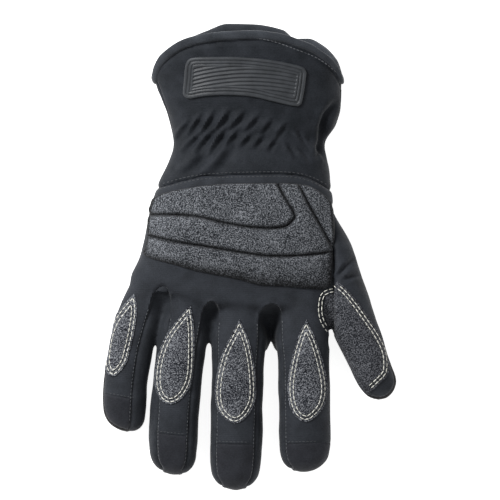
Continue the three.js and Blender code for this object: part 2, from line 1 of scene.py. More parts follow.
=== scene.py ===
# %% [markdown]
# # A padded rescue glove
# A rescue glove is cut from black stretch fabric and sewn together from about a dozen panels. Grey
# speckled pads are stitched over the knuckles and the fingers, and a moulded badge sits on the cuff.
# This lesson dresses the solid model of such a glove. Each panel of the solid model is replaced by a
# piece of fabric in the same place, so the frame is loaded first.

# %% Load the frame
import json
import math

import bmesh
import bpy
import numpy as np
from mathutils import Matrix, Vector, noise
from mathutils.bvhtree import BVHTree
from mathutils.kdtree import KDTree

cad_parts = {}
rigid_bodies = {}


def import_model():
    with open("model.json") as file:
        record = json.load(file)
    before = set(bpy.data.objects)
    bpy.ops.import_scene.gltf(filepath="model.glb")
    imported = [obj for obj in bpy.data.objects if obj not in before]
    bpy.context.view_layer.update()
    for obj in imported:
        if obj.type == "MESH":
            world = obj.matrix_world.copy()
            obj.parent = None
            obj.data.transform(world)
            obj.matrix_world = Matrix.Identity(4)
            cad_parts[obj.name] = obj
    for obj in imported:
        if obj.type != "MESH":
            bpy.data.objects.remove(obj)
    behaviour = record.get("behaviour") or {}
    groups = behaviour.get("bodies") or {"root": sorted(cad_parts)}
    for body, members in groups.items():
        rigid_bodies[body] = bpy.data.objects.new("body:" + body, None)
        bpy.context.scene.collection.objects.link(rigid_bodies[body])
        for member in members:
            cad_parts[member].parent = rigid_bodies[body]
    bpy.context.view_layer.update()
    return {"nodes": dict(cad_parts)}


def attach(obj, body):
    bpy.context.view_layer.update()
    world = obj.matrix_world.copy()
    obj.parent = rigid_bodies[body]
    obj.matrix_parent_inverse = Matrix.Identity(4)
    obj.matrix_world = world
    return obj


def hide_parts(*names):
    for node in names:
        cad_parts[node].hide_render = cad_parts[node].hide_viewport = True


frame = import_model()
MM = 0.001
print("nodes to dress:", sorted(frame["nodes"]))

# %% [markdown]
# ## Sizes of the hand
# The glove lies on its palm with the fingers towards -Y and the thumb towards +X. Its body is one long
# loft. at runs from -1 at the front of the palm through 0 at the wrist to 1 at the hem. left and right
# are distances from the palm's middle line, and bottom and top are heights, all in millimetres.

# %% Tables of the body
def table(columns, *rows):
    """Rows of numbers as named columns."""
    return {name: np.array(values, float) for name, values in zip(columns.split(), zip(*rows))}


MIDDLE_X, WRIST_Y = -9.46, 64.2
PALM_WIDTH, PALM_LENGTH = 115, 109
CUFF_LENGTH, HEM_ARCH_BACK, HEM_ARCH_PALM = 39, 24.8, 30.5
BODY = table(
    "at left right bottom top",
    (-1.0, 57.5, 55.8, 3.2, 33.6),
    (-0.8, 58.4, 57.5, 0, 35.6),
    (-0.6, 53.1, 58.1, -2, 38),
    (-0.48, 49.7, 57.7, -2, 39.2),
    (-0.35, 47.4, 57.5, -2, 40),
    (-0.185, 41.1, 56.0, -2, 39.2),
    (-0.1, 36.8, 54.6, -0.8, 38),
    (0, 33.4, 52.6, 0.7, 37),
    (0.3, 35.4, 58.9, -1, 40.7),
    (0.55, 38.7, 61.8, -2, 44.1),
    (0.8, 42.4, 62.2, -2, 47),
    (1, 44.9, 61.5, -2, 49),
)
HEM = table(
    "at back palm",
    (-1, 0, 0), (-0.97, 0.24, 0.2), (-0.9, 0.48, 0.4), (-0.65, 0.82, 0.7), (-0.43, 0.93, 0.87),
    (-0.21, 0.98, 1), (0.07, 1, 0.99), (0.38, 0.92, 0.89), (0.52, 0.82, 0.72), (0.66, 0.71, 0.72),
    (0.8, 0.52, 0.6), (0.94, 0.25, 0.33), (1, 0, 0),
)
WEB = table("at back", (-0.5, 30.5), (-0.34, 28.3), (-0.1, 18.7), (0.16, 17.2), (0.5, 19.6))
print("rows of the body:", len(BODY["at"]))


# %% A smooth curve through a table
def follow(rows, name, at):
    """A column of a table at places between its rows, with no overshoot."""
    x, y = rows["at"], rows[name]
    slope = np.diff(y) / np.diff(x)
    before, after = slope[:-1], slope[1:]
    same_way = before * after > 0
    inner = np.where(same_way, 2 * before * after / np.where(same_way, before + after, 1), 0)
    bend = np.concatenate([slope[:1], inner, slope[-1:]])
    k = np.clip(np.searchsorted(x, at, side="right") - 1, 0, len(x) - 2)
    step = x[k + 1] - x[k]
    t = np.clip((at - x[k]) / step, 0, 1)
    values = y[k] * (1 + 2 * t) * (1 - t) ** 2 + y[k + 1] * t * t * (3 - 2 * t)
    return values + step * (bend[k] * t * (1 - t) ** 2 - bend[k + 1] * t * t * (1 - t))


print("palm thickness half way:", float(follow(BODY, "top", np.array([-0.5]))[0]), "mm")

# %% [markdown]
# ## Fingers
# A finger starts inside the palm. across and along place its root as shares of the palm, heading turns
# it from -Y in degrees, and bow sways it sideways. Its table swells and thins it: width is a share of
# its width, thickness and height of its thickness. Past the last row it closes in a round dome. The
# little and the ring finger are slimmer at the root, which opens the gaps beside them. Two short fillets
# fill the root of the gap between the middle and the index finger.

# %% Tables of the fingers
FINGER_ROWS = table(
    "at width thickness height",
    (0, 0.92, 1, 0.74), (0.25, 1.03, 1, 0.7), (0.42, 0.96, 0.96, 0.64), (0.6, 0.98, 0.94, 0.56),
    (0.8, 0.98, 0.91, 0.47), (0.91, 0.93, 0.8, 0.4), (1, 0.9, 0.76, 0.34),
)
THUMB_ROWS = table(
    "at width thickness height",
    (0, 0.72, 0.9, 0.66), (0.25, 1.08, 1.04, 0.63), (0.46, 1, 1.02, 0.58), (0.65, 0.93, 0.98, 0.54),
    (0.82, 0.82, 0.87, 0.47), (0.92, 0.78, 0.72, 0.4), (1, 0.74, 0.66, 0.35),
)
SLIM_ROWS = {**FINGER_ROWS, "width": np.array([0.9, 0.985, 0.945, 0.975, 0.98, 0.93, 0.9])}


def finger(length, width, thickness, across, along, heading, bow, rows=FINGER_ROWS, dome=0.885):
    """The sizes of a finger, its root, its direction and the share of its length where its dome starts."""
    return dict(length=length, width=width, thickness=thickness, across=across, along=along,
                heading=math.radians(heading), bow=bow, rows=rows, dome=dome)


FINGERS = {
    "little": finger(86, 26, 23, -0.398, 0.725, -10.7, -0.058, SLIM_ROWS),
    "ring": finger(107.6, 28.8, 25, -0.196, 0.75, -6.1, -0.03, SLIM_ROWS),
    "middle": finger(116, 30.2, 26, 0.038, 0.75, -1.5, 0),
    "index": finger(105.6, 30.2, 26, 0.336, 0.75, 1.5, 0.008),
    "thumb": finger(114, 27, 26, 0.402, 0.359, 21.1, -0.01, THUMB_ROWS, 0.9),
}
WEB_FILLETS = [finger(52, 11, 20, 0.154, 0.62, -2.5, 0), finger(52, 11, 20, 0.228, 0.62, 2.5, 0)]


def finger_frame(f, at):
    """Middle line, half sizes and sideways direction of a finger at places along it."""
    at = np.asarray(at, float)
    ahead = (math.sin(f["heading"]), -math.cos(f["heading"]))
    aside = (math.cos(f["heading"]), math.sin(f["heading"]))
    sway = 4 * at * (1 - at) * f["bow"] * f["length"]
    x = MIDDLE_X + f["across"] * PALM_WIDTH + ahead[0] * at * f["length"] + aside[0] * sway
    y = WRIST_Y - f["along"] * PALM_LENGTH + ahead[1] * at * f["length"] + aside[1] * sway
    past = np.clip((at - f["dome"]) / (1 - f["dome"]), 0, 1)
    shrink = np.sqrt(1 - past ** 2.2)
    half_width = follow(f["rows"], "width", at) * f["width"] / 2 * shrink
    half_height = follow(f["rows"], "thickness", at) * f["thickness"] / 2 * shrink
    z = follow(f["rows"], "height", at) * f["thickness"]
    return x, y, z, half_width, half_height, aside


def beside(name, at, half_widths, extra=0):
    """Points in plan beside a finger's middle line, in half widths towards +X."""
    x, y, _, half_width, _, aside = finger_frame(FINGERS[name], at)
    out = half_widths * half_width + extra
    return np.stack([x + aside[0] * out, y + aside[1] * out], -1)


print("finger lengths in mm:", {name: f["length"] for name, f in FINGERS.items()})

# %% [markdown]
# ## One skin for the whole hand
# Panels that are modelled one by one never quite meet. It is easier to make the whole hand as one skin
# and to cut it along its seams later. The palm with the cuff and each finger is a grid rolled into a
# closed tube, its rows drawn together at both ends. A voxel remesh then joins the tubes into one skin,
# and smoothing rounds the places where they meet.


# %% Roll a grid into a tube
def points_of(bm):
    return np.array([v.co for v in bm.verts])


def middles_of(bm):
    return np.array([f.calc_center_median() for f in bm.faces]) / MM


def keep_faces(bm, keep):
    """Delete the faces that a list of truths doesn't keep."""
    bmesh.ops.delete(bm, geom=[f for f, stays in zip(bm.faces, keep) if not stays], context="FACES")


def move_to(bm, points):
    for v, p in zip(bm.verts, points):
        v.co = p
    bm.normal_update()


def rolled(bm, rows, sides, place):
    """Add a closed tube to a mesh: place gives the points at shares along and round it."""
    made = bmesh.ops.create_grid(bm, x_segments=sides, y_segments=rows, size=0.5)["verts"]
    shares = np.array([v.co for v in made]) + 0.5
    for v, p in zip(made, place(shares[:, 1], shares[:, 0])):
        v.co = p * MM
    bmesh.ops.remove_doubles(bm, verts=made, dist=1e-6)


def superellipse(angle, power):
    c, s = np.cos(angle), np.sin(angle)
    return np.sign(c) * np.abs(c) ** (2 / power), np.sign(s) * np.abs(s) ** (2 / power)


def hem_arch(across, up):
    """How far the hem bows out, blended between the back and the palm at the sides."""
    side = np.clip(0.5 + 3 * up, 0, 1)
    back = HEM_ARCH_BACK * follow(HEM, "back", across)
    palm = HEM_ARCH_PALM * follow(HEM, "palm", across)
    return side * back + (1 - side) * palm


def body_point(at, angle, proud=0, back=0, size=1):
    """A point of the body's skin, moved out by proud and towards the fingers by back."""
    spot = at - back / CUFF_LENGTH
    left, right, bottom, top = (follow(BODY, name, spot) for name in ("left", "right", "bottom", "top"))
    across, up = superellipse(angle, 2.5)
    x = MIDDLE_X + (right - left) / 2 + ((right + left) / 2 + proud) * across * size
    z = (bottom + top) / 2 + ((top - bottom) / 2 + proud) * up * size
    slant = np.clip((-0.6 - at) / 0.4, 0, 1)
    share = np.clip((z - bottom) / (top - bottom), 0, 1)
    set_back = slant * share * follow(WEB, "back", (x - MIDDLE_X) / PALM_WIDTH)
    arch = np.where(at > 0, np.clip(at, 0, 2) ** 1.3 * hem_arch(across * size, up * size), 0)
    y = WRIST_Y + at * np.where(at < 0, PALM_LENGTH, CUFF_LENGTH) + arch * size + set_back - back
    return np.stack([x, y, np.maximum(z, np.maximum(0, -proud))], -1)


PAST_HEM = 1.12  # the tube runs on past the hem, so that its cap is cut away with the rest


def palm_and_cuff(along, round_):
    at = np.interp(along, [0, 0.02, 0.98, 1], [-1, -1, PAST_HEM, PAST_HEM])
    size = np.interp(along, [0, 0.02, 0.98, 1], [0, 1, 1, 0])
    points = body_point(at, 2 * math.pi * round_, size=size)
    points[along > 0.981, 1] = WRIST_Y + PAST_HEM * (CUFF_LENGTH + HEM_ARCH_PALM)
    return points


def digit(f):
    """The tube of a finger, whose rows crowd towards its tip."""
    def place(along, round_):
        at = np.sin(along * math.pi / 2)
        x, y, z, half_width, half_height, aside = finger_frame(f, at)
        across, up = superellipse(2 * math.pi * round_, 2.2)
        shut = np.minimum(1, along * 40)
        out = across * half_width * shut
        points = [x + aside[0] * out, y + aside[1] * out, np.maximum(z + up * half_height * shut, 0)]
        return np.stack(points, -1)
    return place


tubes = bmesh.new()
rolled(tubes, 190, 160, palm_and_cuff)
for each in [*FINGERS.values(), *WEB_FILLETS]:
    rolled(tubes, 100, 80, digit(each))
bmesh.ops.recalc_face_normals(tubes, faces=tubes.faces)
print("faces of the tubes:", len(tubes.faces))


# %% Join the tubes and smooth the skin
def object_of(name, bm):
    mesh = bpy.data.meshes.new(name)
    bm.to_mesh(mesh)
    bm.free()
    piece = bpy.data.objects.new(name, mesh)
    bpy.context.scene.collection.objects.link(piece)
    return piece


def after_modifiers(piece):
    """The mesh that an object's modifiers leave, and the object is gone."""
    graph = bpy.context.evaluated_depsgraph_get()
    seen = piece.evaluated_get(graph)
    bm = bmesh.new()
    bm.from_mesh(seen.to_mesh())
    seen.to_mesh_clear()
    mesh = piece.data
    bpy.data.objects.remove(piece)
    bpy.data.meshes.remove(mesh)
    return bm


def smooth(bm, verts, times, factor=0.5):
    for _ in range(times):
        bmesh.ops.smooth_vert(bm, verts=verts, factor=factor,
                              use_axis_x=True, use_axis_y=True, use_axis_z=True)


VOXEL, ROUNDS, FULLNESS = 1.05, 14, 0.15  # edge of a voxel, rounds of smoothing, and what they took off
draft = object_of("draft", tubes)
remesh = draft.modifiers.new("remesh", "REMESH")
remesh.mode = "VOXEL"
remesh.voxel_size = VOXEL * MM
skin = after_modifiers(draft)
smooth(skin, skin.verts, ROUNDS)
skin.normal_update()
move_to(skin, points_of(skin) + FULLNESS * MM * np.array([v.normal for v in skin.verts]))
print("faces of the skin:", len(skin.faces))

# %% [markdown]
# ## Gathers and folds
# An elastic draws the fabric in across the back of the wrist, so it puckers into two rows of small pleats.
# A pleat is a line from its peak downwards: the skin rises to a ridge on one side of the line and drops
# steeply into a valley on the other. A crease is a plain valley. A slow noise keeps the rest from looking
# machined.

# %% Pleats of the wrist and creases of the hand
PLEATS = (
    # half width, height, points in plan from the peak downwards
    (1.1, 0.7, (-34.6, 76.2), (-39.4, 70.2), (-41.6, 65.6)),
    (1.2, 1.1, (-28.0, 78.8), (-31.4, 73.6), (-33.9, 67.9)),
    (1.3, 1.3, (-20.7, 80.3), (-24.2, 74.2), (-27.7, 67.3)),
    (1.3, 1.4, (-12.2, 81.1), (-16.9, 74.2), (-20.5, 68.5)),
    (1.3, 1.2, (-4.1, 80.3), (-8.0, 75.6), (-12.0, 70.7)),
    (1.2, 1.1, (4.1, 78.5), (0.6, 74.7), (-2.3, 70.5)),
    (1.2, 1.0, (11.6, 76.2), (9.1, 73.0), (6.8, 69.0)),
    (1.2, 1.0, (19.6, 74.3), (17.1, 71.0), (15.4, 67.3)),
    (1.2, 1.0, (26.4, 71.7), (28.5, 68.2), (30.8, 64.2), (34.2, 59.9)),
    (1.1, 0.9, (32.1, 67.7), (35.4, 63.3), (39.4, 57.6)),
    (1.0, 0.7, (37.1, 64.2), (40.5, 59.3), (42.2, 53.6)),
    (1.2, 1.0, (-28.7, 69.3), (-34.2, 63.3), (-38.2, 58.8)),
    (1.4, 1.4, (-21.5, 70.6), (-25.1, 66.2), (-28.5, 61.3), (-30.8, 57.0)),
    (1.5, 1.5, (-14.3, 71.4), (-17.7, 66.2), (-20.5, 61.0), (-23.4, 55.3)),
    (1.3, 1.3, (-7.4, 70.3), (-10.6, 66.2), (-13.1, 62.2)),
    (1.2, 1.1, (0.1, 68.6), (-3.1, 64.8), (-5.1, 61.6)),
    (1.2, 1.1, (7.1, 67.4), (4.3, 64.2), (2.3, 61.0)),
    (1.2, 1.0, (14.4, 66.0), (12.0, 62.8), (10.8, 59.3)),
    (1.2, 0.9, (21.3, 63.6), (23.4, 60.2), (26.2, 56.5)),
    (1.1, 0.8, (28.2, 60.8), (31.4, 57.0), (34.2, 52.5)),
    (2.2, 1.2, (-26.0, 58.5), (-32.0, 52.0), (-40.0, 46.5)),
    (2.6, 1.2, (-11.0, 61.0), (-19.0, 51.0), (-29.0, 43.5)),
)
CREASES = (
    # half width, depth, points in plan
    (1.9, 3.4, (48.3, 86.7), (43.8, 80.2), (42.0, 73.9), (41.4, 66.0), (39.4, 58.2)),
    (1.3, 1.8, (48.8, -13.7), (54.8, -5.7), (58.8, -1.7)),
    (1.2, 1.5, (51.9, -13.7), (58.8, -10.8), (63.3, -10.3)),
)


def along_line(points, line):
    """Distance of plan points from a line, how far along it they lie (0 to 1), and on which side."""
    points = points[:, :2]
    best = np.full(len(points), 1e9)
    where = np.zeros(len(points))
    side = np.ones(len(points))
    line = np.array(line, float)
    lengths = np.linalg.norm(np.diff(line, axis=0), axis=1)
    starts = np.concatenate([[0], np.cumsum(lengths)]) / lengths.sum()
    for a, b, start, end in zip(line, line[1:], starts, starts[1:]):
        t = np.clip((points - a) @ (b - a) / ((b - a) @ (b - a)), 0, 1)
        off = points - a - t[:, None] * (b - a)
        distance = np.linalg.norm(off, axis=1)
        nearer = distance < best
        best = np.where(nearer, distance, best)
        where = np.where(nearer, start + t * (end - start), where)
        side = np.where(nearer, np.sign((b - a)[0] * off[:, 1] - (b - a)[1] * off[:, 0]), side)
    return best, where, side


def pleat(points, line, half_width, height):
    """A ridge to the right of a line and a valley to its left, fading towards the line's end."""
    distance, share, side = along_line(points, line)
    across = side * distance / half_width
    fade = np.minimum(1, 0.35 + 4 * share) * (1 - share) ** 0.5
    steep = np.where(across > 0, 1.35, 1.9)  # of the valley and of the ridge
    return -steep * height * fade * across * np.exp(0.5 - across ** 2 / 2)


def crease(points, line, half_width, depth):
    """Sink along a line and swell a little beside it, fading out at both ends."""
    distance, share, _ = along_line(points, line)
    fade = np.sin(math.pi * np.clip(0.08 + 0.84 * share, 0, 1)) ** 0.7
    valley = np.exp(-((distance / half_width) ** 2))
    swell = np.exp(-(((distance - 2.1 * half_width) / (1.2 * half_width)) ** 2))
    return depth * fade * (0.35 * swell - valley)


points = points_of(skin) / MM
normals = np.array([v.normal for v in skin.verts])
upward = np.clip(normals[:, 2] * 2.5, 0, 1)
rise = np.zeros(len(points))
for half_width, depth, *line in CREASES:
    rise += upward * crease(points, line, half_width, depth)
for half_width, height, *line in PLEATS:
    rise += upward * pleat(points, line, half_width, height)
for height, size in ((0.55, 16), (0.14, 6)):
    rise += height * np.array([noise.noise(Vector(p) / size) for p in points])
points += rise[:, None] * normals
LOWEST = 0.1
points[:, 2] = np.maximum(points[:, 2], LOWEST)
move_to(skin, points * MM)
smooth(skin, skin.verts, 1)
print("deepest crease:", round(float(-rise.min()), 1), "mm")

# %% [markdown]
# ## Cutting the skin along its seams
# Each seam is written as a field: a number at every point that is above zero on one side and below it
# on the other. Edges that change sign are split where the field is zero, and the new points are joined
# across the faces. So the cut is a clean line at any angle to the mesh.


# %% Smooth lines from a few points
def curve_through(points, closed=True, pitch=1.0, corners=()):
    """Points at an even pitch on a soft curve, with corners kept where they are named."""
    points = [np.array(p, float) for p in points]
    count = len(points)
    spans = count if closed else count - 1

    def at(k):
        return points[k % count] if closed else points[min(max(k, 0), count - 1)]

    fine = []
    for k in range(spans):
        p1, p2 = at(k), at(k + 1)
        p0 = p1 if k % count in corners else at(k - 1)
        p3 = p2 if (k + 1) % count in corners else at(k + 2)
        for t in np.linspace(0, 1, 12, endpoint=False):
            a = -0.5 * p0 + 1.5 * p1 - 1.5 * p2 + 0.5 * p3
            b = p0 - 2.5 * p1 + 2 * p2 - 0.5 * p3
            fine.append(a * t ** 3 + b * t ** 2 + 0.5 * (p2 - p0) * t + p1)
    fine.append(points[0] if closed else points[-1])
    fine = np.array(fine)
    length = np.concatenate([[0], np.cumsum(np.linalg.norm(np.diff(fine, axis=0), axis=1))])
    steps = np.linspace(0, length[-1], max(4, round(length[-1] / pitch)) + 1)
    even = np.stack([np.interp(steps, length, fine[:, k]) for k in (0, 1)], -1)
    return even[:-1] if closed else even


# %% Fields of the seams
def inside(points, outline):
    """Distance from a closed outline in plan, above zero inside it."""
    outline = np.array(outline, float)
    distance = along_line(points, np.vstack([outline, outline[:1]]))[0]
    x, y = points[:, 0], points[:, 1]
    within = np.zeros(len(points), bool)
    for (ax, ay), (bx, by) in zip(outline, np.roll(outline, -1, axis=0)):
        spans = (ay > y) != (by > y)
        with np.errstate(divide="ignore", invalid="ignore"):
            crosses = x < ax + (y - ay) * (bx - ax) / (by - ay)
        within ^= spans & crosses
    return np.where(within, distance, -distance)


SEAM_HEIGHTS = table(
    "at side low",
    (-1, 10, 4), (-0.8, 12, 5), (-0.6, 15.2, 6.6), (-0.4, 17.2, 8), (-0.2, 17.2, 8), (0, 20, 8),
    (0.5, 28, 8), (1, 30.4, 8),
)
TIP_Y = WRIST_Y - 0.75 * PALM_LENGTH - 116


def above(points, name):
    """Height over a side seam."""
    past_wrist = points[:, 1] - WRIST_Y
    at = past_wrist / np.where(past_wrist < 0, WRIST_Y - TIP_Y, CUFF_LENGTH + HEM_ARCH_PALM)
    return points[:, 2] - follow(SEAM_HEIGHTS, name, at)


def plan(rows):
    """Plan points from shares of the palm: across from the middle line, along from the wrist."""
    return [(MIDDLE_X + across * PALM_WIDTH, WRIST_Y - along * PALM_LENGTH) for across, along in rows]


WRIST_SEAM = plan([(-0.6, 0.27), (-0.38, 0.227), (-0.17, 0.175), (0.08, 0.16), (0.33, 0.166), (0.49, 0.238),
                   (0.6, 0.3)])
FAR = 400
wrist_curve = curve_through(WRIST_SEAM, closed=False, pitch=3)
beyond_wrist = [(-FAR, FAR), (-FAR, WRIST_SEAM[0][1]), *wrist_curve, (FAR, WRIST_SEAM[-1][1]), (FAR, FAR)]
thumb_side = plan([(0.6, 0.335), (0.5, 0.335), (0.497, 0.5), (0.497, 0.92), (0.483, 1.02), (0.488, 1.35),
                   (1.2, 1.5)]) + [(FAR, -FAR), (FAR, WRIST_Y - 0.335 * PALM_LENGTH)]

# the two fingers, where the seam runs on the back of each in half widths, and where the arch ends
FOURCHETTES = {
    "fourchette_little_ring": ("little", "ring", 0.37, -0.68, 0.742),
    "fourchette_ring_middle": ("ring", "middle", 0.62, -0.8, 0.824),
    "fourchette_middle_index": ("middle", "index", 0.74, -0.8, 0.838),
}
TIP_SEAMS = {"little": 0.78, "ring": 0.785, "middle": 0.767, "index": 0.84}


PAST_TIPS = TIP_Y - 40


def web_y_of(web):
    return WRIST_Y - web * PALM_LENGTH


def strip_outline(first, second, left, right, web):
    """The strip between two fingers in plan: down one, up the next and round the arch."""
    stations = np.linspace(0.16, 0.97, 24)
    down, up = beside(first, stations, left), beside(second, stations, right)[::-1]
    web_y = web_y_of(web)
    (x0, y0), (x1, y1) = down[0], up[-1]
    turn = np.linspace(0, math.pi, 13)[1:-1]
    arch_x = (x0 + x1) / 2 + (x1 - x0) / 2 * np.cos(turn) + 1.4 * np.sin(turn)
    arch_y = max(y0, y1) + (web_y - max(y0, y1)) * np.sin(turn)
    arch = np.stack([arch_x, arch_y], -1)
    for leg in (down, up, arch):
        leg[:, 1] = np.minimum(leg[:, 1], web_y)
    return [*down, (down[-1][0], PAST_TIPS), (up[0][0], PAST_TIPS), *up, *arch]


def tip_outline(name):
    """The panel over a fingertip in plan, between the strips beside it."""
    left = next((f[3] for f in FOURCHETTES.values() if f[1] == name), -2)
    right = next((f[2] for f in FOURCHETTES.values() if f[0] == name), 2)
    stations = TIP_SEAMS[name] + (1 - TIP_SEAMS[name]) * np.array([0, 0.35, 0.7, 0.9])
    a, b = beside(name, stations, left), beside(name, stations, right)[::-1]
    return [*a, (a[-1][0], PAST_TIPS), (b[0][0], PAST_TIPS), *b]


def inside_hem(points, short=1.2):
    """Distance from the hem's edge, above zero on the glove's side of it."""
    left, right, bottom, top = (float(BODY[name][-1]) for name in ("left", "right", "bottom", "top"))
    across = np.clip((points[:, 0] - MIDDLE_X - (right - left) / 2) / ((right + left) / 2), -1, 1)
    up = (points[:, 2] - (bottom + top) / 2) / ((top - bottom) / 2)
    return WRIST_Y + CUFF_LENGTH + hem_arch(across, up) - short - points[:, 1]


strips = {name: strip_outline(*spec) for name, spec in FOURCHETTES.items()}
tips = {name: tip_outline(name) for name in TIP_SEAMS}
print("seams: wrist, thumb, side, hem,", ", ".join(strips), "and", len(tips), "fingertips")


# %% Cut along a field
def cut(bm, field, where=None):
    """Cut the faces along the line where a field is zero, in the part of the mesh that where picks."""
    bm.verts.index_update()
    points = points_of(bm) / MM
    value = field(points)
    value[np.abs(value) < 0.08] = 0
    use = np.ones(len(points), bool) if where is None else where(points)
    on_line = [v for v in bm.verts if value[v.index] == 0 and use[v.index]]
    for edge in list(bm.edges):
        a, b = edge.verts[0].index, edge.verts[1].index
        if value[a] * value[b] < 0 and (use[a] or use[b]):
            _, new = bmesh.utils.edge_split(edge, edge.verts[0], value[a] / (value[a] - value[b]))
            on_line.append(new)
    bmesh.ops.connect_verts(bm, verts=on_line)
    bm.normal_update()


def plan_of(outline):
    return lambda points: inside(points, outline)


cut(skin, inside_hem)
keep_faces(skin, inside_hem(middles_of(skin)) > 0)
cut(skin, plan_of(beyond_wrist))
cut(skin, plan_of(thumb_side), lambda points: (points[:, 0] > 30) & (points[:, 1] < 60))
for outline in strips.values():
    cut(skin, plan_of(outline), lambda points: (above(points, "low") > -1) & (points[:, 1] < 0))
cut(skin, lambda points: above(points, "side"))
cut(skin, lambda points: above(points, "low"), lambda points: points[:, 1] < 0)
for outline in tips.values():
    cut(skin, plan_of(outline), lambda points: (above(points, "low") > -1) & (points[:, 1] < -60))
print("faces after the cuts:", len(skin.faces))

# %% [markdown]
# ## Which panel is which
# After the cuts no face lies across a seam, so the middle of each face tells its panel. Where two panels
# meet, the fabric is drawn in by the thread, so the skin sinks in a narrow groove along every seam. The
# seam under the edge of the hand at the thumb is the deepest, those of the fingertips hardly show. A
# raised rim runs round each strip between two fingers, and the skin is hollow inside its arch.

# %% Label the panels
centres = middles_of(skin)
flat = centres[:, :2]
over_side, over_low = above(centres, "side") > 0, above(centres, "low") > 0
on_cuff, on_thumb = inside(flat, beyond_wrist) > 0, inside(flat, thumb_side) > 0
label = np.where(over_side, "back_panel", "palm_panel").astype("U32")
for name, outline in tips.items():
    label[over_side & (inside(flat, outline) > 0)] = f"fingertip_{name}"
for name, outline in strips.items():
    label[over_low & (inside(flat, outline) > 0)] = name
label[on_thumb] = np.where(over_side, "thumb_back", "thumb_palm")[on_thumb]
label[on_cuff] = np.where(over_side, "cuff_back", "cuff_palm")[on_cuff]
panels = sorted(set(label))
skin.faces.index_update()
print({name: int((label == name).sum()) for name in panels})

# %% Sink the seams
# depth and half width of the groove along each kind of seam
GROOVES = {"thumb": (2.6, 1.7), "tip": (0.22, 0.7), "wrist": (1.1, 1.2), "seam": (0.95, 1.1)}


def kind_of(pair):
    names = " ".join(sorted(pair))
    if "thumb_back" in names and "back_panel" in names:
        return "thumb"
    if "fingertip" in names and "back_panel" in names:
        return "tip"
    return "wrist" if "cuff" in names and "panel" in names else "seam"


def dome(distance, reach):
    """A rounded shoulder from 0 at an edge to 1 at a reach from it."""
    t = np.clip(distance / reach, 0, 1)
    return np.sqrt(np.maximum(0, 1 - (1 - t) ** 2))


seam_points = {kind: [] for kind in GROOVES}
for edge in skin.edges:
    if len(edge.link_faces) == 2:
        pair = {label[f.index] for f in edge.link_faces}
        if len(pair) == 2:
            seam_points[kind_of(pair)].append((edge.verts[0].co + edge.verts[1].co) / 2)
            seam_points[kind_of(pair)].append(edge.verts[0].co.copy())


def nearest(points, targets, reach):
    """Distance in mm of each point to the nearest target, up to a reach."""
    tree = KDTree(len(targets))
    for k, p in enumerate(targets):
        tree.insert(p, k)
    tree.balance()
    return np.array([min(reach, tree.find(p)[2] / MM) for p in points])


points = points_of(skin)
normals = np.array([v.normal for v in skin.verts])
sink = np.zeros(len(points))
for kind, (depth, half_width) in GROOVES.items():
    distance = nearest([v.co for v in skin.verts], seam_points[kind], 20)
    sink = np.maximum(sink, depth * np.exp(-((distance / half_width) ** 1.6)))
points /= MM
sink *= np.clip((points[:, 2] - 5) / 9, 0.25, 1)
sink += 1.1 * np.exp(-(((inside_hem(points) - 5.0) / 0.9) ** 2)) * (points[:, 2] > 20)
fingers = (points[:, 1] < -20) & (points[:, 2] > 6)
for name, outline in strips.items():
    within = inside(points, outline)
    near_arch = np.clip((points[:, 1] - web_y_of(FOURCHETTES[name][-1]) + 19) / 9, 0, 1)
    rim = np.exp(-(((within + 1.1) / 0.9) ** 2)) * (0.35 + 0.6 * near_arch)
    hollow = 2.4 * near_arch * dome(within - 0.3, 5)
    sink += fingers * (hollow - rim)
move_to(skin, (points - sink[:, None] * normals) * MM)
print("seam points:", {kind: len(found) for kind, found in seam_points.items()})

# %% [markdown]
# ## Fabrics
# The stretch fabric is a fine black knit, a little blue, with a soft sheen at grazing angles. The cuff,
# the strips, the tips and the palm each have a slightly different hand. All patterns read Object
# coordinates, which are metres on the glove, so a grain has its real size on every panel.


# %% Helpers for materials
def material(name, roughness, **sockets):
    """A principled material, its tree, its shader and its coordinates."""
    mat = bpy.data.materials.new(name)
    mat.use_nodes = True
    tree = mat.node_tree
    shader = tree.nodes["Principled BSDF"]
    shader.inputs["Roughness"].default_value = roughness
    for key, value in sockets.items():
        shader.inputs[key.replace("_", " ").title().replace("Ior", "IOR")].default_value = value
    return mat, tree, shader


def node(tree, kind, inputs=(), **settings):
    """A node with its settings, and its inputs set or linked."""
    made = tree.nodes.new(kind)
    for key, value in settings.items():
        setattr(made, key, value)
    for key, value in dict(inputs).items():
        if isinstance(value, bpy.types.NodeSocket):
            tree.links.new(value, made.inputs[key])
        else:
            made.inputs[key].default_value = value
    return made


def grains(tree, size, detail=2.0, stretch=(1, 1, 1), distortion=0.0):
    """Noise whose grains have a size in millimetres."""
    where = node(tree, "ShaderNodeTexCoord").outputs["Object"]
    spread = node(tree, "ShaderNodeMapping", {"Vector": where, "Scale": stretch}).outputs[0]
    settings = {"Vector": spread, "Scale": 1000 / size, "Detail": detail, "Distortion": distortion}
    return node(tree, "ShaderNodeTexNoise", settings).outputs["Fac"]


def combined(tree, operation, a, b, kind="ShaderNodeMath"):
    return node(tree, kind, {0: a, 1: b}, operation=operation).outputs[0]


def ramp(tree, value, *stops):
    """Colours or greys at places from 0 to 1."""
    made = node(tree, "ShaderNodeValToRGB", {"Fac": value})
    while len(made.color_ramp.elements) < len(stops):
        made.color_ramp.elements.new(0.5)
    for element, (place, colour) in zip(made.color_ramp.elements, stops):
        element.position = place
        element.color = (*colour, 1) if len(colour) == 3 else (colour[0],) * 3 + (1,)
    return made.outputs["Color"]


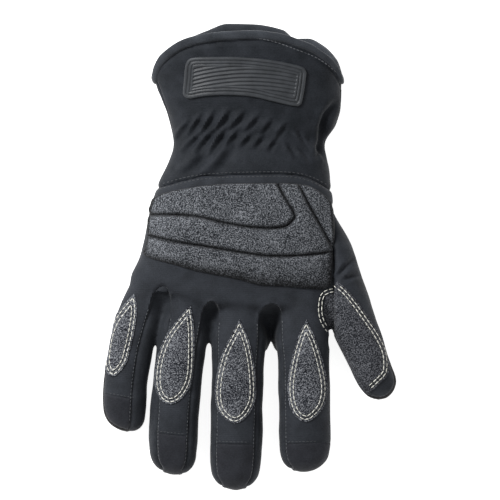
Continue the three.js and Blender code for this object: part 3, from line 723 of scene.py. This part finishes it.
def bumped(tree, shader, *layers):
    """Stack bumps: pairs of a height and its depth in millimetres."""
    normal = None
    for height, depth in layers:
        inputs = {"Height": height, "Strength": 1.0, "Distance": depth * MM}
        if normal:
            inputs["Normal"] = normal
        normal = node(tree, "ShaderNodeBump", inputs).outputs[0]
    tree.links.new(normal, shader.inputs["Normal"])


# %% Stretch knit, cuff, strips, tips, palm and tape
def knit(name, dark, light, rib=0.0, grain=0.7, roughness=0.75, sheen=0.06):
    """A matt knit with soft patches of two colours, fine grains and ribs of a pitch in millimetres."""
    mat, tree, shader = material(name, roughness, sheen_weight=sheen, sheen_roughness=0.4,
                                 specular_ior_level=0.22)
    patches = grains(tree, 9, 3.0)
    thread = grains(tree, grain, 1.5, (1, 2.2, 1))
    half = combined(tree, "MULTIPLY", combined(tree, "ADD", patches, thread), 0.5)
    tree.links.new(ramp(tree, half, (0.36, dark), (0.64, light)), shader.inputs["Base Color"])
    layers = [(grains(tree, 3.5, 2.0), 0.16), (thread, 0.14)]
    if rib:
        where = node(tree, "ShaderNodeTexCoord").outputs["Object"]
        wave = node(tree, "ShaderNodeTexWave", {"Vector": where, "Scale": 314 / rib, "Distortion": 0.6},
                    bands_direction="Y")
        layers.append((wave.outputs["Fac"], 0.04))
    bumped(tree, shader, *layers)
    return mat


FABRIC = {
    "stretch": knit("stretch_knit", (0.013, 0.015, 0.019), (0.028, 0.032, 0.040), rib=1.1),
    "cuff": knit("cuff_knit", (0.005, 0.007, 0.010), (0.019, 0.022, 0.028), rib=0.9),
    "strip": knit("strip_knit", (0.012, 0.014, 0.018), (0.029, 0.033, 0.040), rib=0.9),
    "tip": knit("tip_knit", (0.012, 0.013, 0.017), (0.026, 0.028, 0.035), grain=0.9),
    "palm": knit("palm_suede", (0.010, 0.010, 0.011), (0.024, 0.023, 0.023), grain=0.5, roughness=0.7),
    # the tape's knit is lighter than the cuff's: a painted highlight along the rolled hem
    "binding": knit("folded_tape", (0.018, 0.021, 0.026), (0.046, 0.052, 0.062), rib=0.7, sheen=0.2),
}
print("fabrics:", sorted(FABRIC))

# %% Sew the panels
SLOTS = {"cuff": "cuff_fabric", "palm": "palm_fabric", "tip": "tip_fabric", "stretch": "stretch_fabric",
         "strip": "stretch_fabric"}


def fabric_of(name):
    if name in ("palm_panel", "thumb_palm"):
        return "palm"
    if name.startswith("cuff"):
        return "cuff"
    if name in FOURCHETTES:
        return "strip"
    return "tip" if name.startswith("fingertip") else "stretch"


def finished(piece, mat, slot, *nodes, sharp=50):
    """Shade a piece, give it its material, and let it stand for its nodes. The slot is not used."""
    piece.data.materials.clear()
    piece.data.materials.append(mat)
    piece.data.shade_smooth()
    piece.data.set_sharp_from_angle(angle=math.radians(sharp))
    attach(piece, "root")
    if nodes:
        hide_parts(*nodes)
    return piece


def part_of(bm, keep):
    """A copy of some of a mesh's faces."""
    copy = bm.copy()
    keep_faces(copy, keep)
    return copy


WALL = 1.6
for name in panels:
    piece = object_of(f"{name}_fabric", part_of(skin, label == name))
    wall = piece.modifiers.new("wall", "SOLIDIFY")
    wall.thickness = WALL * MM
    wall.offset = -1
    kind = fabric_of(name)
    finished(piece, FABRIC[kind], SLOTS[kind], name, sharp=40)
print("panels sewn:", len(panels))

# %% [markdown]
# ## The rolled hem
# A tape is folded round the raw edge of the cuff and sewn down. It is a closed tube with a soft D
# section that follows the hem, made from a grid rolled both ways, like a bent ring.


# %% Bind the hem
def hem_tape(along, round_):
    across, up = superellipse(2 * math.pi * along, 2.6)
    proud = -0.2 + 2.0 * across
    back = 2.5 + 2.5 * up
    return body_point(np.ones(len(along)), 2 * math.pi * round_, proud, back)


tape = bmesh.new()
rolled(tape, 20, 320, hem_tape)
bmesh.ops.recalc_face_normals(tape, faces=tape.faces)
finished(object_of("hem_binding", tape), FABRIC["binding"], "binding_fabric", "cuff_binding")
print("hem binding: 5 mm wide")

# %% [markdown]
# ## Layers sewn on top
# Pads, the thumb patch and the badge all lie on the skin inside an outline. So one helper makes them:
# it copies the skin inside the outline, thickens the copy into a closed layer and lifts its upper side
# by a height that depends on the distance from the outline.


# %% A layer on the skin
SEWN_IN = 0.3


def layer(outline, height, finer=0, where=True):
    """A closed layer on the skin inside an outline, its upper side lifted by height(points)."""
    bm = part_of(skin, (inside(flat, outline) > -3) & over_side & where)
    for _ in range(finer):
        bmesh.ops.subdivide_edges(bm, edges=bm.edges, cuts=1, use_grid_fill=True)
        smooth(bm, bm.verts, 1)
    cut(bm, plan_of(outline))
    keep_faces(bm, inside(middles_of(bm)[:, :2], outline) > 0)
    under = list(bm.verts)
    made = bmesh.ops.extrude_face_region(bm, geom=list(bm.faces), use_keep_orig=True)["geom"]
    top = [v for v in made if isinstance(v, bmesh.types.BMVert)]
    bm.normal_update()
    lift = height(np.array([v.co for v in top]) / MM)
    directions = [v.normal.copy() for v in top]
    for v, normal, rise in zip(top, directions, lift):
        v.co += normal * rise * MM
    for v in under:
        v.co -= v.normal * SEWN_IN * MM
    bmesh.ops.recalc_face_normals(bm, faces=bm.faces)
    return bm


print("faces above the side seams:", int(over_side.sum()))

# %% [markdown]
# ## Air in the pads
# Foam under a sewn cover swells wherever no thread holds it. A cloth simulation gives that shape: the
# under side, the rim and the channels are held, and a light pressure lifts the rest for twenty frames. A
# move is never longer than its reach, so that no point runs away.

# %% Blow up a piece between its seams
FRAMES = 20


def blown(piece, held, pressure=5.0, reach=1.5):
    """Let air lift the points of a piece that nothing holds, and keep the shape that they take."""
    start = np.array([v.co for v in piece.data.vertices])
    group = piece.vertex_groups.new(name="held")
    group.add([int(k) for k in np.flatnonzero(held)], 1, "REPLACE")
    air = piece.modifiers.new("air", "CLOTH")
    for key, value in dict(quality=4, mass=0.00006, bending_stiffness=0.001, vertex_group_mass="held",
                           use_pressure=True, uniform_pressure_force=pressure).items():
        setattr(air.settings, key, value)
    air.settings.effector_weights.gravity = 0
    air.collision_settings.use_collision = False
    air.point_cache.frame_start, air.point_cache.frame_end = 1, FRAMES
    for moment in range(1, FRAMES + 1):
        bpy.context.scene.frame_set(moment)
    seen = piece.evaluated_get(bpy.context.evaluated_depsgraph_get())
    move = np.array([v.co for v in seen.data.vertices]) - start
    length = np.linalg.norm(move, axis=1) / MM
    move *= np.minimum(1, reach / np.maximum(length, 1e-6))[:, None]
    piece.modifiers.remove(air)
    piece.vertex_groups.remove(group)
    piece.data.vertices.foreach_set("co", (start + move).ravel())
    piece.data.update()
    bpy.context.scene.frame_set(1)
    return float(np.max(length))


print("pads are blown up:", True)

# %% [markdown]
# ## The knuckle pad
# A quilted panel of speckled foam covers the knuckles. Three channels are sunk into it, so that the
# hand can bend. The foam rises in a rounded shoulder beside each channel and falls off softly at the rim.
# In the channels and along the broad lower rim the pad's colour is darkened with painted shade.

# %% Shape the knuckle pad
KNUCKLE_RIM = [
    (-52.2, 33.9), (-41.6, 37.7), (-19.0, 41.1), (4.6, 41.8), (27.3, 41.4), (36.9, 38.8), (44.8, 32.2),
    (46.5, 24.5), (47.6, 8.6), (47.0, 1.7), (46.5, -11.4), (44.8, -17.2), (35.1, -18.0), (19.4, -16.5),
    (6.3, -15.8), (-6.8, -12.3), (-28.5, -8.0), (-41.6, -4.4), (-58.6, 0.8), (-57.6, 8.0), (-56.0, 24.0),
    (-54.8, 29.1),
]
CHANNELS = [
    [(-57.3, 24.0), (-33.1, 23.4), (-11.1, 18.8), (6.3, 16.5), (19.4, 17.1), (24.5, 20.9), (25.6, 24.4),
     (20.3, 33.9), (15.0, 43.5)],
    [(-58.5, 12.8), (-41.6, 8.7), (-24.2, 6.0), (-6.8, 3.0), (10.7, 0.8), (28.2, 1.0), (49.6, 3.4)],
    [(27.0, 43.1), (30.8, 35.7), (34.2, 28.8), (39.5, 19.1), (48.5, 2.1)],
]
knuckle_rim = curve_through(KNUCKLE_RIM)
channels = [curve_through(line, closed=False) for line in CHANNELS]


def from_channel(points):
    return np.min([along_line(points, line)[0] for line in channels], axis=0)


def quilted(points):
    rim = inside(points, knuckle_rim)
    roll = np.interp(points[:, 1], [-10, 8, 22], [10, 3.5, 1.8])
    return 0.7 + 2.6 * dome(rim - 0.2, roll) * dome(from_channel(points) - 0.35, 2.8)


knuckle = object_of("knuckle_padding", layer(knuckle_rim, quilted, finer=1))
print("faces of the knuckle pad:", len(knuckle.data.polygons))


# %% Paint shade into the pad's channels and along its lower rim
def marked(piece, name, values):
    """Give each point of a piece a number that its material can read."""
    numbers = piece.data.attributes.new(name, "FLOAT", "POINT").data
    numbers.foreach_set("value", np.asarray(values, np.float32))


points = np.array([v.co for v in knuckle.data.vertices]) / MM
rim = inside(points, knuckle_rim)
# painted shade: the channels and, broadly, the lower rim that rolls down towards the fingers are darkened
rolling = np.clip(1 - rim / np.interp(points[:, 1], [-9, 6], [9, 0.5]), 0, 1)
fuzz = np.array([noise.noise(Vector(p) / 0.9) for p in points])
channel_shade = 0.9 * np.exp(-((from_channel(points) / (1.05 + 0.5 * fuzz)) ** 2))
marked(knuckle, "painted_shade", np.clip(np.maximum(channel_shade, rolling ** 1.3 * (1 + 0.8 * fuzz)), 0, 1))


# %% Speckled heather
def heather(name, dark, mid, light, grain=0.9, roughness=0.95, floor=0.12):
    """Specks of three colours, darkened down to floor by painted shade where a point attribute says so."""
    mat, tree, shader = material(name, roughness, sheen_weight=0.05, sheen_roughness=0.5,
                                 specular_ior_level=0.15)
    speck = grains(tree, grain, 3.0, distortion=0.4)
    patches = combined(tree, "MULTIPLY", grains(tree, 14, 2.0), 0.12)
    total = combined(tree, "ADD", speck, patches)
    colour = ramp(tree, total, (0.45, dark), (0.55, mid), (0.68, light))
    # the painted shade of the channels and the lower rim, read from the points
    painted_shade = node(tree, "ShaderNodeAttribute", attribute_name="painted_shade").outputs["Fac"]
    left = ramp(tree, painted_shade, (0, (1.0,)), (1, (floor,)))
    shaded = combined(tree, "MULTIPLY", colour, left, "ShaderNodeVectorMath")
    tree.links.new(shaded, shader.inputs["Base Color"])
    bumped(tree, shader, (speck, 0.25), (grains(tree, 2.4), 0.15))
    return mat


under = np.arange(len(points)) < len(points) // 2  # a layer's first half of points is its under side
lifted = blown(knuckle, under | (rim < 1.6) | (from_channel(points) < 1.0))
print("the air moved the knuckle pad by", round(lifted, 2), "mm")
PAD = heather("pad_heather", (0.008, 0.009, 0.011), (0.040, 0.044, 0.051), (0.21, 0.22, 0.24), 0.6)
DARK_PAD = heather("finger_heather", (0.008, 0.009, 0.012), (0.029, 0.032, 0.041), (0.25, 0.26, 0.28), 0.62)
PATCH = heather("patch_heather", (0.008, 0.009, 0.011), (0.024, 0.026, 0.032), (0.14, 0.145, 0.16), 0.62)
finished(knuckle, PAD, "pad_fabric", "knuckle_pad")
print("knuckle pad padded")

# %% [markdown]
# ## Finger pads and the thumb patch
# A tear-shaped pad with its point towards the knuckles is sewn on each finger with two rows of pale
# thread. The raw edge stands a little outside the outer row, and the thread presses the pad down.

# %% Shape the finger pads
TEARS = {
    "little": [(-65.7, -23.3), (-64.8, -30.1), (-66.2, -41.1), (-68.9, -52.8), (-71.1, -60.1),
               (-77.1, -66.9), (-80.7, -62.8), (-81.2, -56.5), (-79.3, -44.5), (-76.2, -36.5),
               (-72.5, -31.0), (-67.9, -25.5)],
    "ring": [(-33.9, -29.6), (-32.5, -41.1), (-32.5, -57.4), (-33.4, -68.3), (-36.1, -75.5), (-39.8, -80.1),
             (-44.3, -82.4), (-48.9, -80.6), (-52.0, -73.8), (-52.0, -64.6), (-50.2, -55.6), (-46.2, -45.5),
             (-39.8, -36.5)],
    "middle": [(-5.4, -37.8), (-1.1, -48.3), (1.6, -61.9), (2.5, -75.5), (1.6, -82.8), (-2.5, -90.1),
               (-8.0, -93.3), (-13.4, -90.5), (-17.1, -84.7), (-18.0, -75.5), (-16.5, -64.6), (-13.4, -53.7),
               (-8.8, -44.6)],
    "index": [(32.5, -38.2), (37.1, -48.3), (40.7, -60.1), (43.0, -71.9), (42.6, -80.1), (39.9, -86.5),
              (33.0, -92.4), (27.1, -89.2), (24.0, -81.9), (23.4, -71.9), (24.8, -61.9), (27.1, -51.9),
              (29.8, -43.7)],
}


def grown(line, distance, closed=True):
    """An outline moved outwards by a distance, or inwards where it is negative, with mitred corners."""
    line = np.array(line)
    ahead = np.roll(line, -1, axis=0) - line
    behind = line - np.roll(line, 1, axis=0)
    if not closed:
        ahead[-1], behind[0] = behind[-1], ahead[0]
    ahead /= np.linalg.norm(ahead, axis=1)[:, None]
    behind /= np.linalg.norm(behind, axis=1)[:, None]
    middle = ahead + behind
    middle /= np.linalg.norm(middle, axis=1)[:, None]
    out = np.stack([middle[:, 1], -middle[:, 0]], -1)
    area = 0.5 * np.sum(line[:, 0] * np.roll(line[:, 1], -1) - line[:, 1] * np.roll(line[:, 0], -1))
    sign = 1 if area > 0 or not closed else -1
    stretch = 1 / np.maximum(0.28, np.sum(middle * ahead, axis=1))
    moved = line + sign * distance * stretch[:, None] * out
    if closed and distance < 0:
        moved = moved[inside(moved, line) > -0.96 * distance]
    return moved


tear_lines = {name: curve_through(points, corners=(0,)) for name, points in TEARS.items()}
for name, line in tear_lines.items():
    edge = grown(line, 1.2)

    def soft(points, edge=edge):
        return 0.55 + 1.35 * dome(inside(points, edge) - 2.6, 4.5)

    piece = object_of(f"finger_padding_{name}", layer(edge, soft, finer=1))
    points = np.array([v.co for v in piece.data.vertices]) / MM
    under = np.arange(len(points)) < len(points) // 2
    lifted = blown(piece, under | (inside(points, edge) < 3.2), reach=0.9)
    print("the air moved the", name, "pad by", round(lifted, 2), "mm")
    finished(piece, DARK_PAD, "pad_fabric", f"finger_pad_{name}")
print("finger pads:", sorted(tear_lines))

# %% Shape the thumb patch
THUMB_ROW = [(48.9, -14.6), (54.2, -18.8), (59.3, -24.8), (63.3, -30.2), (67.3, -35.9), (71.9, -42.4),
             (74.2, -46.4), (77.0, -51.9), (78.2, -57.0), (78.4, -62.8), (77.8, -66.2), (74.2, -70.2),
             (69.4, -74.7)]
LOBE_ROW = [(48.5, -19.6), (42.6, -21.9), (41.2, -30.1), (42.6, -36.5), (46.2, -41.9)]
thumb_row = curve_through(THUMB_ROW, closed=False)
lobe_row = curve_through(LOBE_ROW, closed=False)
patch_edge = np.vstack([
    grown(thumb_row, -1.3, closed=False), [(66, -82), (40, -60)], grown(lobe_row, -1.3, closed=False)[::-1],
])


def patched(points):
    return 0.5 + 0.6 * dome(inside(points, patch_edge) - 2.4, 3.5)


patch = object_of("thumb_patch_layer", layer(patch_edge, patched, 1, on_thumb | (flat[:, 1] > -43)))
finished(patch, PATCH, "patch_fabric", "thumb_patch")
print("thumb patch faces:", len(patch.data.polygons))

# %% [markdown]
# ## The badge
# A moulded rubber badge with a double rim curves with the cuff. Its field carries fine plain ribs.

# %% Mould the badge
BADGE = [(-36.1, 106.4), (-35.1, 110.3), (-31.7, 112.8), (-19.4, 113.2), (-3.7, 113.0), (13.7, 111.2),
         (28.5, 108.1), (31.9, 105.7), (32.2, 102.0), (30.2, 89.2), (28.5, 86.0), (25.1, 85.5),
         (13.7, 88.0), (1.5, 90.7), (-12.5, 91.6), (-24.7, 91.1), (-32.5, 89.8), (-35.4, 90.4),
         (-37.1, 93.0), (-36.5, 100.3)]
badge_edge = curve_through(BADGE, pitch=0.6)


def moulded(points):
    rim = inside(points, badge_edge)

    def step(place, width=0.4):
        return np.clip((rim - place) / width, 0, 1)

    height = 0.5 + 1.1 * dome(rim, 0.8) - 0.55 * (step(1.6) - step(2.4)) - 0.45 * (step(3.5) - step(4.1))
    ribs = 0.5 + 0.5 * np.cos(2 * math.pi * (points[:, 1] + 0.004 * points[:, 0] ** 2) / 2.2)
    return height - 0.6 * step(5, 0.6) * ribs


badge = object_of("badge_rubber", layer(badge_edge, moulded, finer=2))
rubber, tree, shader = material("moulded_rubber", 0.5, specular_ior_level=0.4)
tree.links.new(ramp(tree, grains(tree, 5, 3.0), (0.3, (0.026, 0.029, 0.033)), (0.7, (0.040, 0.044, 0.050))),
               shader.inputs["Base Color"])
bumped(tree, shader, (grains(tree, 0.4), 0.03))
finished(badge, rubber, "badge_rubber", "cuff_badge")
print("badge faces:", len(badge.data.polygons))

# %% [markdown]
# ## Stitches
# A stitch is a grain of thread, a low round body of forty faces, laid along its row with a small gap to
# the next. Each is dropped on the fabric from above, so it lies on whatever is there.


# %% Lay rows of stitches
everything = [piece for piece in bpy.data.objects
              if "_padding" in piece.name or piece.name.endswith(("_fabric", "_layer", "_rubber"))]
surface = bmesh.new()
for piece in everything:
    surface.from_mesh(piece.data)
ground = BVHTree.FromBMesh(surface)
surface.free()


FACES_OF_ONE = 40


def stitch_row(whole, line, pitch=3.1, length=2.8, width=0.55, high=0.5, sink=0.12):
    """Stitches along a plan line, each turned along the row and laid on the fabric."""
    line = np.array(line)
    bm = bmesh.new()
    reach = np.concatenate([[0], np.cumsum(np.linalg.norm(np.diff(line, axis=0), axis=1))])
    count = max(1, round(reach[-1] / pitch))
    middles = (np.arange(count) + 0.5) * reach[-1] / count
    ends = [np.stack([np.interp(middles + side * length / 2, reach, line[:, k]) for k in (0, 1)], -1)
            for side in (-1, 1)]
    for a, b in zip(*ends):
        hits = [ground.ray_cast(Vector((p[0] * MM, p[1] * MM, 0.1)), Vector((0, 0, -1))) for p in (a, b)]
        if hits[0][0] is None or hits[1][0] is None:
            continue
        along = hits[1][0] - hits[0][0]
        if along.length > 2.2 * length * MM:
            continue
        up = (hits[0][1] + hits[1][1]).normalized()
        forward = along.normalized()
        across = up.cross(forward).normalized()
        up = forward.cross(across)
        turn = Matrix((forward, across, up)).transposed().to_4x4()
        place = Matrix.Translation((hits[0][0] + hits[1][0]) / 2 + up * (high / 2 - sink) * MM)
        size = Matrix.Diagonal((length * MM / 2, width * MM / 2, high * MM / 2, 1))
        bmesh.ops.create_uvsphere(bm, u_segments=8, v_segments=5, radius=1, matrix=place @ turn @ size)
    row = bpy.data.meshes.new("row")
    bm.to_mesh(row)
    bm.free()
    whole.from_mesh(row)
    bpy.data.meshes.remove(row)


def sewn(shade, rows, slot, dark, light):
    """Turn rows of stitches into one piece, in a thread that mixes two colours."""
    mat, tree, shader = material(f"{shade}_thread", 0.7, sheen_weight=0.2)
    tree.links.new(ramp(tree, grains(tree, 0.5), (0.3, dark), (0.7, light)), shader.inputs["Base Color"])
    bumped(tree, shader, (grains(tree, 0.25), 0.05))
    print(shade, "stitches:", len(rows.faces) // FACES_OF_ONE)
    finished(object_of(f"{shade}_stitches", rows), mat, slot)


pale = bmesh.new()
for line in tear_lines.values():
    for row in (line, grown(line, -1.9)):
        stitch_row(pale, np.vstack([row, row[:1]]))
for line in (thumb_row, lobe_row):
    stitch_row(pale, line)
    stitch_row(pale, grown(line, 1.8, closed=False))
sewn("pale", pale, "pad_fabric", (0.62, 0.61, 0.53), (0.92, 0.91, 0.84))

# %% Rows in quieter thread
stations = np.linspace(0.17, 0.93, 60)
grey = bmesh.new()
HEM_ROW = [(-51.9, 106.1), (-40.5, 118.7), (-25.8, 123.2), (-7.6, 124.4), (10.6, 122.5), (25.1, 117.8),
           (39.7, 111.9), (51.3, 103.3)]
stitch_row(grey, curve_through(HEM_ROW, closed=False), 2.2, 2.0, 0.5, 0.4)
for first, second, left, right, _ in FOURCHETTES.values():
    stitch_row(grey, beside(first, stations, left, -1.0), 2.1, 1.5, 0.4, 0.3)
    stitch_row(grey, beside(second, stations, right, 1.0), 2.1, 1.5, 0.4, 0.3)
sewn("grey", grey, "stretch_fabric", (0.050, 0.054, 0.062), (0.150, 0.160, 0.175))

dark = bmesh.new()
for out in (-1.3, 1.3):
    stitch_row(dark, grown(wrist_curve[6:-6], out, closed=False), 2.4, 1.8, 0.5, 0.35)
for name, start in TIP_SEAMS.items():
    row = np.array([beside(name, start - 0.012, side) for side in np.linspace(-0.7, 0.44, 12)])
    stitch_row(dark, row, 2.1, 1.6, 0.4, 0.3)
sewn("dark", dark, "stretch_fabric", (0.020, 0.022, 0.026), (0.050, 0.055, 0.062))

# %% [markdown]
# ## Camera, light and floor
# The photograph looks straight down on the glove with a long lens. The floor is plain and nearly white,
# the light is large and soft and comes a little from the upper left.

# %% Camera, light and floor
scene = bpy.context.scene
scene.view_settings.view_transform = "Standard"
PIXEL = 0.5705 * MM
camera_data = bpy.data.cameras.new("camera")
camera_data.lens = 400
camera_data.clip_end = 20
camera = bpy.data.objects.new("camera", camera_data)
distance = 500 * PIXEL * camera_data.lens / camera_data.sensor_width
camera.location = (1 * PIXEL, 7 * PIXEL, 14 * MM + distance)
scene.collection.objects.link(camera)
scene.camera = camera

floor_mesh = bmesh.new()
bmesh.ops.create_grid(floor_mesh, x_segments=1, y_segments=1, size=3)
floor = object_of("floor", floor_mesh)
pale_floor, tree, shader = material("pale_floor", 0.9, emission_color=(1, 1, 1, 1), emission_strength=0.86)
tree.links.new(ramp(tree, grains(tree, 300), (0.4, (0.86, 0.86, 0.86)), (0.6, (0.87, 0.87, 0.87))),
               shader.inputs["Base Color"])
floor.data.materials.append(pale_floor)


def lamp(name, place, size, power):
    """A square soft box that looks at the middle of the glove."""
    data = bpy.data.lights.new(name, "AREA")
    data.size = size
    data.energy = power
    light = bpy.data.objects.new(name, data)
    light.location = place
    light.rotation_euler = Vector(place).to_track_quat("Z", "Y").to_euler()
    scene.collection.objects.link(light)


lamp("key", (-0.85, 0.7, 1.05), 0.5, 27)
lamp("fill", (0.9, -0.5, 1.2), 1.2, 2)
world = bpy.data.worlds.new("studio")
world.use_nodes = True
world.node_tree.nodes["Background"].inputs["Color"].default_value = (1, 1, 1, 1)
world.node_tree.nodes["Background"].inputs["Strength"].default_value = 0.36
scene.world = world
print("camera", round(distance, 3), "m above the glove")

# %% Free the skin and list the lowest points
skin.free()
graph = bpy.context.evaluated_depsgraph_get()
lowest = {}
for piece in everything:
    low_corner = min(corner[2] for corner in piece.evaluated_get(graph).bound_box)
    lowest[piece.name] = round(low_corner / MM, 2)
print("lowest points in mm:", sorted(lowest.items(), key=lambda pair: pair[1])[:4])
